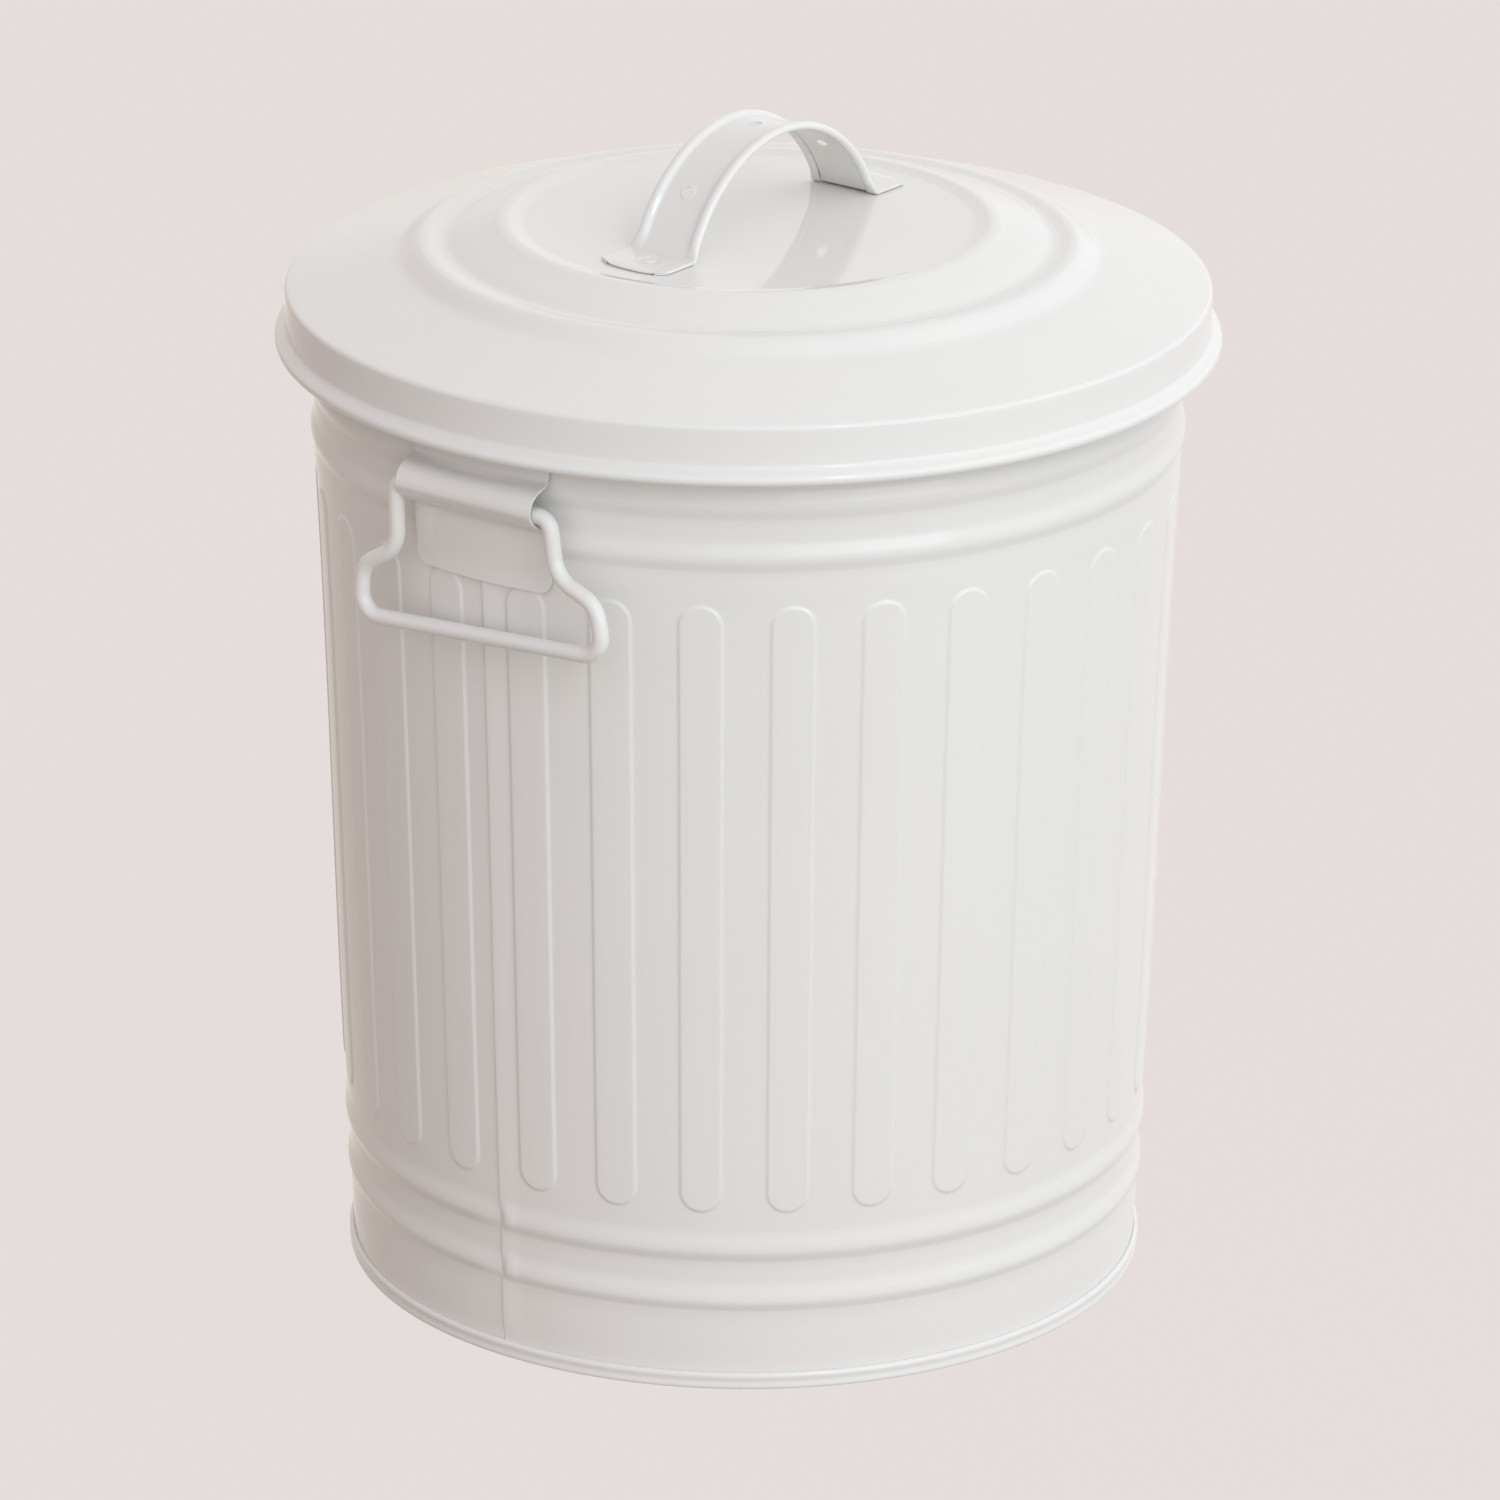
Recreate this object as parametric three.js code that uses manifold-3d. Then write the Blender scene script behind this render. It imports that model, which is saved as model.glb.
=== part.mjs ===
// A round, slightly conical sheet-steel bin with a lift-off lid.
// Millimetres, +Z up, origin at the centre of the foot ring on the floor.
// The two swinging side handles stand on -X and +X. The body seam is on -X.
import * as THREE from "three";
import { mergeVertices } from "three/addons/utils/BufferGeometryUtils.js";
import Module from "manifold-3d";

const wasm = await Module();
wasm.setup();

// ---------------------------------------------------------------- dimensions
const SHEET = 1.0;              // wall thickness of body, base and lid
const GAP = 0.3;                // clearance between pieces that touch
const SEG = 48;                 // facets round the bin

// body wall: outer radius is a straight cone up to the upper beads
const WALL_Z0 = 1.4;            // lower edge, inside the base fold
const WALL_R_REF = 175.7;       // outer radius at WALL_Z_REF
const WALL_Z_REF = 49.2;
const WALL_TAPER = 0.0387;      // radius gained per mm of height
const CONE_TOP_Z = 372.0;       // above this the wall is nearly upright
const RIM_R = 191.5;            // centre of the rolled rim
const RIM_Z = 442.5;
const RIM_OUT = 3.3;            // outer radius of the roll
const RIM_WIRE = 2.0;           // radius of the wire inside it
const BEAD_Z = [41.4, 65.2, 383.5, 406.7];
const BEAD_H = 1.4;
const BEAD_UP = 8.0;            // bead crest to upper foot
const BEAD_DOWN = 6.4;          // bead crest to lower foot

// base pan and foot ring
const FOOT_R = 176.4;           // outer radius of the folded foot ring
const FOOT_H = 7.5;
const PAN_Z = 9.0;              // inside floor of the bin

// lid
const LID_R = 205.0;            // outer radius of the rolled edge
const CURL_Z = 422.8;
const CURL_OUT = 3.0;
const LID_TOP_Z = 472.2;        // flat centre disc
const LID_TURN = -1.2;          // degrees: the lid lies turned on the rim like this
const HANDLE_DX = 0.0;          // the lid handle sits this far off the middle
const HANDLE_DY = -3.7;

// lid handle
const ARCH_R = 69.5;            // outermost radius of the arch
const LEG_ANGLE = 59.6;         // degrees from its top where the arch runs out into straight legs
const ARCH_TOP_Z = 518.5;
const STRAP_W = 33.2;
const STRAP_T = 1.2;
const ROLL_R = 1.7;             // rolled long edges
const FOOT_OUT = 88.0;          // middle of the foot's outer edge
const FOOT_SIDE = 83.2;         // where the foot's side ends
const FOOT_HALF = 18.2;         // half the foot's width
const HOLE_R = 2.65;
const HOLE_ANGLE = 44.5;        // side holes, degrees from the top of the arch
const RIVET_X = 74.5;
const RIVET_SHANK = 2.0;
const RIVET_HEAD = 4.2;

// side brackets
const BR_HALF = 35.5;           // half width round the bin
const BR_T = 1.0;
const BR_R = 191.5;             // outer face of the flanges
const BULGE_R = 193.7;          // centre of the hollow bulge
const BULGE_Z = 400.7;
const BULGE_OUT = 7.6;
const BR_TOP = 430.0;
const BR_BOTTOM = 361.2;
const BR_CORNER = 5.0;

// bails
const ROD_R = 3.55;
const PIVOT_R = 195.55;
const PIVOT_Z = 398.8;

// ---------------------------------------------------------------- helpers
function tidy(geometry) {
  const g0 = geometry.clone();
  for (const name of Object.keys(g0.attributes)) if (name !== "position") g0.deleteAttribute(name);
  g0.clearGroups();
  const g = mergeVertices(g0, 1e-4);
  const p = g.attributes.position, ix = g.index.array, keep = [];
  for (let i = 0; i < ix.length; i += 3) {
    const [a, b, c] = [ix[i], ix[i + 1], ix[i + 2]];
    if (a !== b && b !== c && c !== a) keep.push(a, b, c);
  }
  let vol = 0;
  const A = new THREE.Vector3(), B = new THREE.Vector3(), C = new THREE.Vector3();
  for (let i = 0; i < keep.length; i += 3) {
    A.fromBufferAttribute(p, keep[i]); B.fromBufferAttribute(p, keep[i + 1]); C.fromBufferAttribute(p, keep[i + 2]);
    vol += A.dot(B.cross(C));
  }
  if (vol < 0) for (let i = 0; i < keep.length; i += 3) [keep[i + 1], keep[i + 2]] = [keep[i + 2], keep[i + 1]];
  const out = new THREE.BufferGeometry();
  out.setAttribute("position", new THREE.Float32BufferAttribute(Array.from(p.array), 3));
  out.setIndex(keep);
  return out;
}
function toSolid(geometry) {
  const g = tidy(geometry);
  return new wasm.Manifold(new wasm.Mesh({
    numProp: 3,
    vertProperties: new Float32Array(g.attributes.position.array),
    triVerts: new Uint32Array(g.index.array),
  }));
}
function fromSolid(solid) {
  const m = solid.getMesh();
  const g = new THREE.BufferGeometry();
  g.setAttribute("position", new THREE.Float32BufferAttribute(Array.from(m.vertProperties), 3));
  g.setIndex(Array.from(m.triVerts));
  return g;
}
// revolve a closed (r, z) outline about Z
function revolve(outline, segments = SEG) {
  const pts = outline.map(([r, z]) => new THREE.Vector2(r, z));
  const first = pts[0], last = pts[pts.length - 1];
  if (!(first.x === 0 && last.x === 0)) pts.push(first.clone());
  const g = new THREE.LatheGeometry(pts, segments);
  g.rotateX(Math.PI / 2);
  g.rotateZ(Math.PI / 2);
  return g;
}
// a flat outline carried through a list of frames { o, x, y }
function sweep(outline, frames) {
  const shape = new THREE.Shape(outline.map(([x, y]) => new THREE.Vector2(x, y)));
  const n = frames.length - 1;
  const g = new THREE.ExtrudeGeometry(shape, { depth: n, steps: n, bevelEnabled: false, curveSegments: 1 });
  const p = g.attributes.position, v = new THREE.Vector3();
  for (let i = 0; i < p.count; i++) {
    const f = frames[Math.round(p.getZ(i))];
    v.copy(f.o).addScaledVector(f.x, p.getX(i)).addScaledVector(f.y, p.getY(i));
    p.setXYZ(i, v.x, v.y, v.z);
  }
  return g;
}
function circle(radius, sides, turn = 0) {
  const out = [];
  for (let i = 0; i < sides; i++) {
    const a = turn + (2 * Math.PI * i) / sides;
    out.push([radius * Math.cos(a), radius * Math.sin(a)]);
  }
  return out;
}
const rad = (d) => (d * Math.PI) / 180;
function arc(cx, cy, r, a0, a1, n) {
  const out = [];
  for (let i = 0; i <= n; i++) {
    const a = rad(a0 + ((a1 - a0) * i) / n);
    out.push([cx + r * Math.cos(a), cy + r * Math.sin(a)]);
  }
  return out;
}
// same line moved sideways by d, to the left of its direction
function offset(line, d) {
  return line.map((p, i) => {
    const a = line[Math.max(0, i - 1)], b = line[Math.min(line.length - 1, i + 1)];
    const dx = b[0] - a[0], dy = b[1] - a[1], l = Math.hypot(dx, dy);
    return [p[0] - (dy / l) * d, p[1] + (dx / l) * d];
  });
}

// ---------------------------------------------------------------- body shell
function wallRadius(z) {
  const cone = (q) => WALL_R_REF + WALL_TAPER * (q - WALL_Z_REF);
  if (z <= CONE_TOP_Z) return cone(z);
  const t = (z - CONE_TOP_Z) / (RIM_Z - CONE_TOP_Z);
  return cone(CONE_TOP_Z) + t * (RIM_R - RIM_OUT + SHEET - cone(CONE_TOP_Z));
}
function bead(z) {
  return [
    [wallRadius(z - BEAD_DOWN), z - BEAD_DOWN],
    [wallRadius(z) + BEAD_H, z],
    [wallRadius(z + BEAD_UP), z + BEAD_UP],
  ];
}
const wallLine = [[wallRadius(WALL_Z0) - 0.2, WALL_Z0], [wallRadius(FOOT_H + 3) - 0.2, FOOT_H + 3]];
for (const z of BEAD_Z) wallLine.push(...bead(z));
wallLine.splice(8, 0, [wallRadius(CONE_TOP_Z), CONE_TOP_Z]);
const bodyOutline = [
  ...wallLine,
  ...arc(RIM_R, RIM_Z, RIM_OUT - SHEET, 180, -108, 8),
  ...arc(RIM_R, RIM_Z, RIM_OUT, -108, 180, 8),
  ...wallLine.map(([r, z]) => [r - SHEET, z]).reverse(),
];
const bodyShell = revolve(bodyOutline);

// ---------------------------------------------------------------- rim wire
const rimWire = revolve(circle(RIM_WIRE, 8, Math.PI / 8).map(([x, y]) => [RIM_R + x, RIM_Z + y]));

// ---------------------------------------------------------------- base pan
const wallIn = wallRadius(WALL_Z0) - 0.2 - SHEET;
const wallOut = wallRadius(FOOT_H + 3) - 0.2;
const basePan = revolve([
  [0, PAN_Z],
  [wallIn - GAP - 0.8, PAN_Z],
  [wallIn - GAP, PAN_Z - 0.8],
  [wallIn - GAP, SHEET],
  [wallOut + GAP + 0.1, SHEET],
  [wallOut + GAP + 0.1, FOOT_H - 0.4],
  [FOOT_R - 0.5, FOOT_H],
  [FOOT_R, FOOT_H - 0.6],
  [FOOT_R, 1.0],
  [FOOT_R - 0.9, 0],
  [wallIn - GAP - 0.2, 0],
  [wallIn - GAP - SHEET, 0.8],
  [wallIn - GAP - SHEET, PAN_Z - SHEET],
  [0, PAN_Z - SHEET],
]);

// ---------------------------------------------------------------- side brackets
// Outline of the strap in (r, z), seen along its length. Outer face first.
const strapOuter = [
  [BR_R, BR_TOP],
  [BR_R, 413.5],
  [BR_R + 0.5, 410.8],
  [BULGE_R - 0.4, 409.0],
  ...arc(BULGE_R, BULGE_Z, BULGE_OUT, 72, -52, 7),
  [BR_R + 2.4, 391.0],
  [BR_R + 0.4, 388.6],
  [BR_R, 385.5],
  [BR_R, BR_BOTTOM + 5.0],
  [BR_R, BR_BOTTOM + 2.6],
  [BR_R, BR_BOTTOM + 1.0],
  [BR_R, BR_BOTTOM],
];
const strapOutline = [...strapOuter, ...offset(strapOuter, -BR_T).reverse()];
function bracket() {
  const n = 12, frames = [];
  for (let i = 0; i <= n; i++) frames.push({ o: new THREE.Vector3(0, i, 0), x: new THREE.Vector3(1, 0, 0), y: new THREE.Vector3(0, 0, 1) });
  const g = sweep(strapOutline, frames);
  const p = g.attributes.position;
  for (let i = 0; i < p.count; i++) {
    const r = p.getX(i), z = p.getZ(i);
    let t = BR_HALF * (2 * (p.getY(i) / n) - 1);
    const low = Math.max(0, BR_CORNER - (z - BR_BOTTOM));
    t *= (BR_HALF - (BR_CORNER - Math.sqrt(BR_CORNER * BR_CORNER - low * low))) / BR_HALF;
    // flanges follow the round body, the bulge stays straight for the straight rod
    const w = THREE.MathUtils.clamp((BR_R + 3.2 - r) / 2.6, 0, 1);
    const bent = Math.sqrt(r * r - t * t);
    p.setXYZ(i, r + w * (bent - r), t, z);
  }
  return g;
}
const bracketRight = bracket();
const bracketLeft = bracket();
bracketLeft.rotateZ(Math.PI);

// ---------------------------------------------------------------- bails
// Corner points (t, z) of the rod's centre line, t along the bin's side, and
// the bend radius at each. The bail on -X hangs a little on the skew.
const bailSkew = [
  [[0.4, PIVOT_Z], 0], [[42.0, PIVOT_Z], 6.5], [[45.4, 373.8], 14.5], [[66.3, 365.6], 12.5], [[70.4, 343.2], 9.5],
  [[-59.2, 335.5], 9.5], [[-57.6, 358.3], 12.5], [[-38.9, 368.9], 14.5], [[-39.6, PIVOT_Z], 4.4], [[-0.4, PIVOT_Z], 0],
];
const bailTrue = [
  [[0.4, PIVOT_Z], 0], [[40.8, PIVOT_Z], 5.5], [[42.2, 371.4], 14.5], [[61.9, 362.0], 12.5], [[64.8, 339.4], 9.5],
  [[-64.8, 339.4], 9.5], [[-61.9, 362.0], 12.5], [[-42.2, 371.4], 14.5], [[-40.8, PIVOT_Z], 5.5], [[-0.4, PIVOT_Z], 0],
];
function bend(corners) {
  const path = [corners[0][0]];
  for (let i = 1; i < corners.length - 1; i++) {
    const [b, r] = corners[i];
    const a = new THREE.Vector2(...corners[i - 1][0]), c = new THREE.Vector2(...corners[i + 1][0]), B = new THREE.Vector2(...b);
    const u = a.clone().sub(B).normalize(), v = c.clone().sub(B).normalize();
    const half = Math.acos(THREE.MathUtils.clamp(u.dot(v), -1, 1)) / 2;
    const d = r / Math.tan(half);
    const centre = B.clone().add(u.clone().add(v).normalize().multiplyScalar(r / Math.sin(half)));
    const s = B.clone().addScaledVector(u, d).sub(centre), e = B.clone().addScaledVector(v, d).sub(centre);
    const sweepAngle = Math.atan2(s.x * e.y - s.y * e.x, s.dot(e));
    const n = Math.max(2, Math.round(Math.abs(sweepAngle) / rad(20)));
    for (let k = 0; k <= n; k++) {
      const q = s.clone().rotateAround(new THREE.Vector2(0, 0), (sweepAngle * k) / n).add(centre);
      path.push([q.x, q.y]);
    }
  }
  path.push(corners[corners.length - 1][0]);
  return path;
}
function bail(corners, sign) {
  // sign -1: on -X, t runs to -Y. sign +1: on +X, t runs to +Y.
  const path = bend(corners).map(([t, z]) => new THREE.Vector3(sign * PIVOT_R, sign * t, z));
  const out = new THREE.Vector3(sign, 0, 0), frames = [];
  for (let i = 0; i < path.length; i++) {
    const a = path[Math.max(0, i - 1)], b = path[Math.min(path.length - 1, i + 1)];
    const dir0 = path[i].clone().sub(a), dir1 = b.clone().sub(path[i]);
    const dir = (i === 0 ? dir1 : i === path.length - 1 ? dir0 : dir0.normalize().add(dir1.normalize())).normalize();
    frames.push({ o: path[i], x: new THREE.Vector3().crossVectors(out, dir), y: out });
  }
  return sweep(circle(ROD_R, 10, Math.PI / 10), frames);
}
const bailLeft = bail(bailSkew, -1);
const bailRight = bail(bailTrue, 1);

// ---------------------------------------------------------------- lid shell
const lidTop = [
  [0, LID_TOP_Z], [97, LID_TOP_Z], [100.5, 472.9], [104, 473.7], [107, 473.4], [110, 472.4],
  [128, 465.6], [131.5, 464.7], [135, 464.7], [139, 465.2], [142, 464.9], [145, 463.2],
  [149, 460.4], [152, 458.7], [155.5, 457.5], [196.6, 446.1], [199.0, 445.0], [200.2, 442.8],
];
const curlR = LID_R - CURL_OUT;
const lidOutline = [
  ...lidTop,
  [curlR - (CURL_OUT - SHEET), 426],
  ...arc(curlR, CURL_Z, CURL_OUT - SHEET, 180, 450, 6),
  ...arc(curlR, CURL_Z, CURL_OUT, 450, 180, 6),
  [curlR - CURL_OUT, 426],
  [199.2, 442.4], [198.3, 444.0], [196.2, 445.0], [155.2, 456.4], [151.3, 457.8],
  [148.2, 459.7], [144.3, 462.3], [141.6, 463.8], [139, 464.2], [131.5, 463.7], [127.6, 464.6],
  [109.6, 471.4], [106.8, 472.4], [104, 472.7], [100.5, 471.9], [97, 471.2], [0, 471.2],
];
const lidPlain = revolve(lidOutline);
lidPlain.rotateZ(-rad(LID_TURN));               // facets stay on the axes of the bin

const lidGroup = new THREE.Group();
lidGroup.rotation.z = rad(LID_TURN);
const discUnder = LID_TOP_Z - SHEET;
function peg(radius, z0, z1, x, sides = 16) {
  const g = new THREE.CylinderGeometry(radius, radius, z1 - z0, sides);
  g.rotateX(Math.PI / 2);
  g.translate(x + HANDLE_DX, HANDLE_DY, (z0 + z1) / 2);
  return g;
}
let lidSolid = toSolid(lidPlain);
for (const s of [-1, 1]) lidSolid = lidSolid.subtract(toSolid(peg(RIVET_SHANK + GAP, discUnder - 2, LID_TOP_Z + 2, s * RIVET_X)));
const lidShell = fromSolid(lidSolid);

// ---------------------------------------------------------------- lid handle
const footZ = LID_TOP_Z + GAP;                  // underside of the feet
const archCentreZ = ARCH_TOP_Z - ARCH_R;
const innerR = ARCH_R - (ROLL_R + 1.0);         // inner face of the strap web
const halfW = STRAP_W / 2;
const edge = halfW - ROLL_R;
// section: u across the strap, n outward; web from n = 0 to STRAP_T, rolled edges
const strapSection = [
  [-(edge - 1.55), 0], [edge - 1.55, 0],
  ...arc(edge, 1.0, ROLL_R, -135, 135, 6),
  [edge - 1.65, STRAP_T], [-(edge - 1.65), STRAP_T],
  ...arc(-edge, 1.0, ROLL_R, 45, 315, 6),
];
// the arch runs out into two straight legs, which reach a little below the feet
const legAngle = rad(LEG_ANGLE);
const legDrop = archCentreZ + innerR * Math.cos(legAngle) - (footZ - 3.0);
const archFrames = [];
function strapFrame(a, drop) {
  const n = new THREE.Vector3(Math.sin(a), 0, Math.cos(a));
  const out = drop / Math.tan(legAngle) * Math.sign(a);
  archFrames.push({ o: new THREE.Vector3(innerR * Math.sin(a) + out, 0, archCentreZ + innerR * Math.cos(a) - drop), x: new THREE.Vector3(0, -1, 0), y: n });
}
const N = 20;
strapFrame(-legAngle, legDrop);
for (let i = 0; i <= N; i++) strapFrame(-legAngle + (2 * legAngle * i) / N, 0);
strapFrame(legAngle, legDrop);
const archGeo = sweep(strapSection, archFrames);
archGeo.translate(HANDLE_DX, HANDLE_DY, 0);
const footStart = innerR * Math.sin(legAngle) + (legDrop - 3.0) / Math.tan(legAngle) - 0.8;
function foot(sign) {
  const outline = [[footStart, -FOOT_HALF], [FOOT_SIDE, -FOOT_HALF]];
  for (let i = 1; i < 12; i++) {
    const q = -1 + (2 * i) / 12;
    outline.push([FOOT_SIDE + (FOOT_OUT - FOOT_SIDE) * (1 - Math.abs(q) ** 3), q * FOOT_HALF]);
  }
  outline.push([FOOT_SIDE, FOOT_HALF], [footStart, FOOT_HALF]);
  const shape = new THREE.Shape(outline.map(([x, y]) => new THREE.Vector2(x, y)));
  const g = new THREE.ExtrudeGeometry(shape, { depth: STRAP_T, steps: 1, bevelEnabled: false });
  if (sign < 0) g.rotateZ(Math.PI);
  g.translate(HANDLE_DX, HANDLE_DY, footZ);
  return g;
}
let handle = toSolid(archGeo).add(toSolid(foot(1))).add(toSolid(foot(-1)));
// nothing of the arch reaches below the feet
const under = new THREE.BoxGeometry(400, 200, 40);
under.translate(0, 0, footZ - 20);
handle = handle.subtract(toSolid(under));
for (const a of [-HOLE_ANGLE, 0, HOLE_ANGLE]) {
  const g = new THREE.CylinderGeometry(HOLE_R, HOLE_R, 12, 16);
  g.rotateX(Math.PI / 2);
  g.translate(0, 0, innerR);
  g.rotateY(rad(a));
  g.translate(HANDLE_DX, HANDLE_DY, archCentreZ);
  handle = handle.subtract(toSolid(g));
}
for (const s of [-1, 1]) handle = handle.subtract(toSolid(peg(RIVET_SHANK + GAP, footZ - 2, footZ + STRAP_T + 4, s * RIVET_X)));
const lidHandle = fromSolid(handle);

// ---------------------------------------------------------------- lid rivets
function rivet(x) {
  const top = footZ + STRAP_T + GAP, bottom = discUnder - GAP;
  const g = revolve([
    [0, bottom - 1.3], [2.6, bottom - 1.3], [3.2, bottom - 0.7], [3.2, bottom],
    [RIVET_SHANK, bottom], [RIVET_SHANK, top], [RIVET_HEAD, top], [RIVET_HEAD - 0.4, top + 0.5],
    [RIVET_HEAD * 0.55, top + 1.05], [0, top + 1.25],
  ], 16);
  g.translate(x + HANDLE_DX, HANDLE_DY, 0);
  return g;
}

// ---------------------------------------------------------------- scene graph
const enamel = () => new THREE.MeshStandardMaterial({ color: 0xe8e7e4, roughness: 0.28, metalness: 0.0 });
const wireSteel = () => new THREE.MeshStandardMaterial({ color: 0x9a9c9e, roughness: 0.45, metalness: 0.9 });
function piece(name, geometry, material) {
  const mesh = new THREE.Mesh(tidy(geometry), material);
  mesh.name = name;
  return mesh;
}
const bin = new THREE.Group();
bin.add(
  piece("body_shell", bodyShell, enamel()),
  piece("rim_wire", rimWire, wireSteel()),
  piece("base_pan", basePan, enamel()),
  piece("bracket_left", bracketLeft, enamel()),
  piece("bracket_right", bracketRight, enamel()),
  piece("bail_left", bailLeft, enamel()),
  piece("bail_right", bailRight, enamel()),
);
lidGroup.add(
  piece("lid_shell", lidShell, enamel()),
  piece("lid_handle", lidHandle, enamel()),
  piece("lid_rivet_left", rivet(-RIVET_X), enamel()),
  piece("lid_rivet_right", rivet(RIVET_X), enamel()),
);
bin.add(lidGroup);

export default bin;
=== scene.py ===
import math

import bmesh
import bpy
import numpy as np
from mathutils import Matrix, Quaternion, Vector


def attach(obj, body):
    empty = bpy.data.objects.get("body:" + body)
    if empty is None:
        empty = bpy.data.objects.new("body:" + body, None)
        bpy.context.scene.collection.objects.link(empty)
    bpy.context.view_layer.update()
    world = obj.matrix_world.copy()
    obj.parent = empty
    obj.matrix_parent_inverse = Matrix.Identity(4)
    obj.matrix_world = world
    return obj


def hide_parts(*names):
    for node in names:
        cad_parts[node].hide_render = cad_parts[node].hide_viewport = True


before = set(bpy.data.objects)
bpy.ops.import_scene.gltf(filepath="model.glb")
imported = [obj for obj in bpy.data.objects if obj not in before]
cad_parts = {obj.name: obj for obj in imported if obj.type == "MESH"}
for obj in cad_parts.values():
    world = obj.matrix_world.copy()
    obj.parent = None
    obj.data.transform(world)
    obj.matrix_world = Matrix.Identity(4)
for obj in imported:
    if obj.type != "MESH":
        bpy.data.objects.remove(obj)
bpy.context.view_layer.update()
scene = bpy.context.scene

# ------------------------------------------------------------------ camera
# The photograph's viewing angle: 20.4 degrees down on the object, from the
# side that shows the handle on -X at the left.
CAM_AT = Vector((-3.1644, -2.3329, 1.69335))
CAM_PITCH = math.radians(20.432)
CAM_ROLL = math.radians(0.298)
heading = Vector((0.8049, 0.5934, 0.0)).normalized()
look = heading * math.cos(CAM_PITCH) + Vector((0, 0, -math.sin(CAM_PITCH)))
cam_data = bpy.data.cameras.new("camera")
cam_data.lens = 228.81
cam_data.sensor_width = 36.0
cam_data.sensor_fit = "AUTO"
cam_data.shift_x = 0.0025
cam_data.clip_start = 0.1
cam_data.clip_end = 60.0
cam_data.dof.use_dof = False
camera = bpy.data.objects.new("camera", cam_data)
camera.rotation_mode = "QUATERNION"
camera.rotation_quaternion = look.to_track_quat("-Z", "Y") @ Quaternion((0, 0, 1), CAM_ROLL)
camera.location = CAM_AT
scene.collection.objects.link(camera)
scene.camera = camera

# ------------------------------------------------------------------ helpers
MM = 0.001


def smooth(t):
    t = np.clip(t, 0.0, 1.0)
    return t * t * (3 - 2 * t)


def pchip(points):
    """A curve through (x, y) points that never overshoots between them."""
    xs, ys = np.array(points, float).T
    h, d = np.diff(xs), np.diff(ys) / np.diff(xs)
    m = np.zeros_like(xs)
    m[0], m[-1] = d[0], d[-1]
    for i in range(1, len(xs) - 1):
        if d[i - 1] * d[i] > 0:
            w1, w2 = 2 * h[i] + h[i - 1], h[i] + 2 * h[i - 1]
            m[i] = (w1 + w2) / (w1 / d[i - 1] + w2 / d[i])

    def f(x):
        x = np.asarray(x, float)
        k = np.clip(np.searchsorted(xs, x, side="right") - 1, 0, len(h) - 1)
        t = np.clip((x - xs[k]) / h[k], 0, 1)
        return ((2 * t**3 - 3 * t**2 + 1) * ys[k] + (t**3 - 2 * t**2 + t) * h[k] * m[k]
                + (-2 * t**3 + 3 * t**2) * ys[k + 1] + (t**3 - t**2) * h[k] * m[k + 1])

    return f


def spline(points, per=6):
    """Centripetal Catmull-Rom through the points, per steps between each pair."""
    p = np.array(points, float)
    p = np.vstack([2 * p[0] - p[1], p, 2 * p[-1] - p[-2]])
    out = []
    for i in range(1, len(p) - 2):
        a, b, c, d = p[i - 1], p[i], p[i + 1], p[i + 2]
        t0 = 0.0
        t1 = t0 + np.linalg.norm(b - a) ** 0.5
        t2 = t1 + np.linalg.norm(c - b) ** 0.5
        t3 = t2 + np.linalg.norm(d - c) ** 0.5
        for k in range(per):
            t = t1 + (t2 - t1) * k / per
            a1 = (t1 - t) / (t1 - t0) * a + (t - t0) / (t1 - t0) * b
            a2 = (t2 - t) / (t2 - t1) * b + (t - t1) / (t2 - t1) * c
            a3 = (t3 - t) / (t3 - t2) * c + (t - t2) / (t3 - t2) * d
            b1 = (t2 - t) / (t2 - t0) * a1 + (t - t0) / (t2 - t0) * a2
            b2 = (t3 - t) / (t3 - t1) * a2 + (t - t1) / (t3 - t1) * a3
            out.append((t2 - t) / (t2 - t1) * b1 + (t - t1) / (t2 - t1) * b2)
    out.append(p[-2])
    return np.array(out)


def arc(cx, cy, r, a0, a1, n):
    return [(cx + r * math.cos(math.radians(a0 + (a1 - a0) * i / n)),
             cy + r * math.sin(math.radians(a0 + (a1 - a0) * i / n))) for i in range(n + 1)]


class Sheet:
    """Points in millimetres and faces, gathered patch by patch."""

    def __init__(self):
        self.v, self.f, self.n = [], [], 0

    def points(self, pts):
        pts = np.asarray(pts, float).reshape(-1, 3)
        start = self.n
        self.v.append(pts)
        self.n += len(pts)
        return start

    def grid(self, pts, close=False, skip=None):
        """pts is rows by columns by 3. close joins the last column to the first."""
        rows, cols = pts.shape[:2]
        start = self.points(pts)
        for i in range(rows - 1):
            for j in range(cols if close else cols - 1):
                if skip is not None and skip(i, j):
                    continue
                k = (j + 1) % cols
                self.f.append((start + i * cols + j, start + i * cols + k,
                               start + (i + 1) * cols + k, start + (i + 1) * cols + j))
        return start

    def bm(self, weld=0.004):
        out = bmesh.new()
        vs = [out.verts.new(Vector(p) * MM) for p in np.vstack(self.v)]
        for f in self.f:
            g = []
            for i in f:
                if not g or vs[i] is not g[-1]:
                    g.append(vs[i])
            if len(g) > 2:
                out.faces.new(g)
        bmesh.ops.remove_doubles(out, verts=out.verts, dist=weld * MM)
        bmesh.ops.dissolve_degenerate(out, edges=out.edges, dist=1e-7)
        return out


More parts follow.
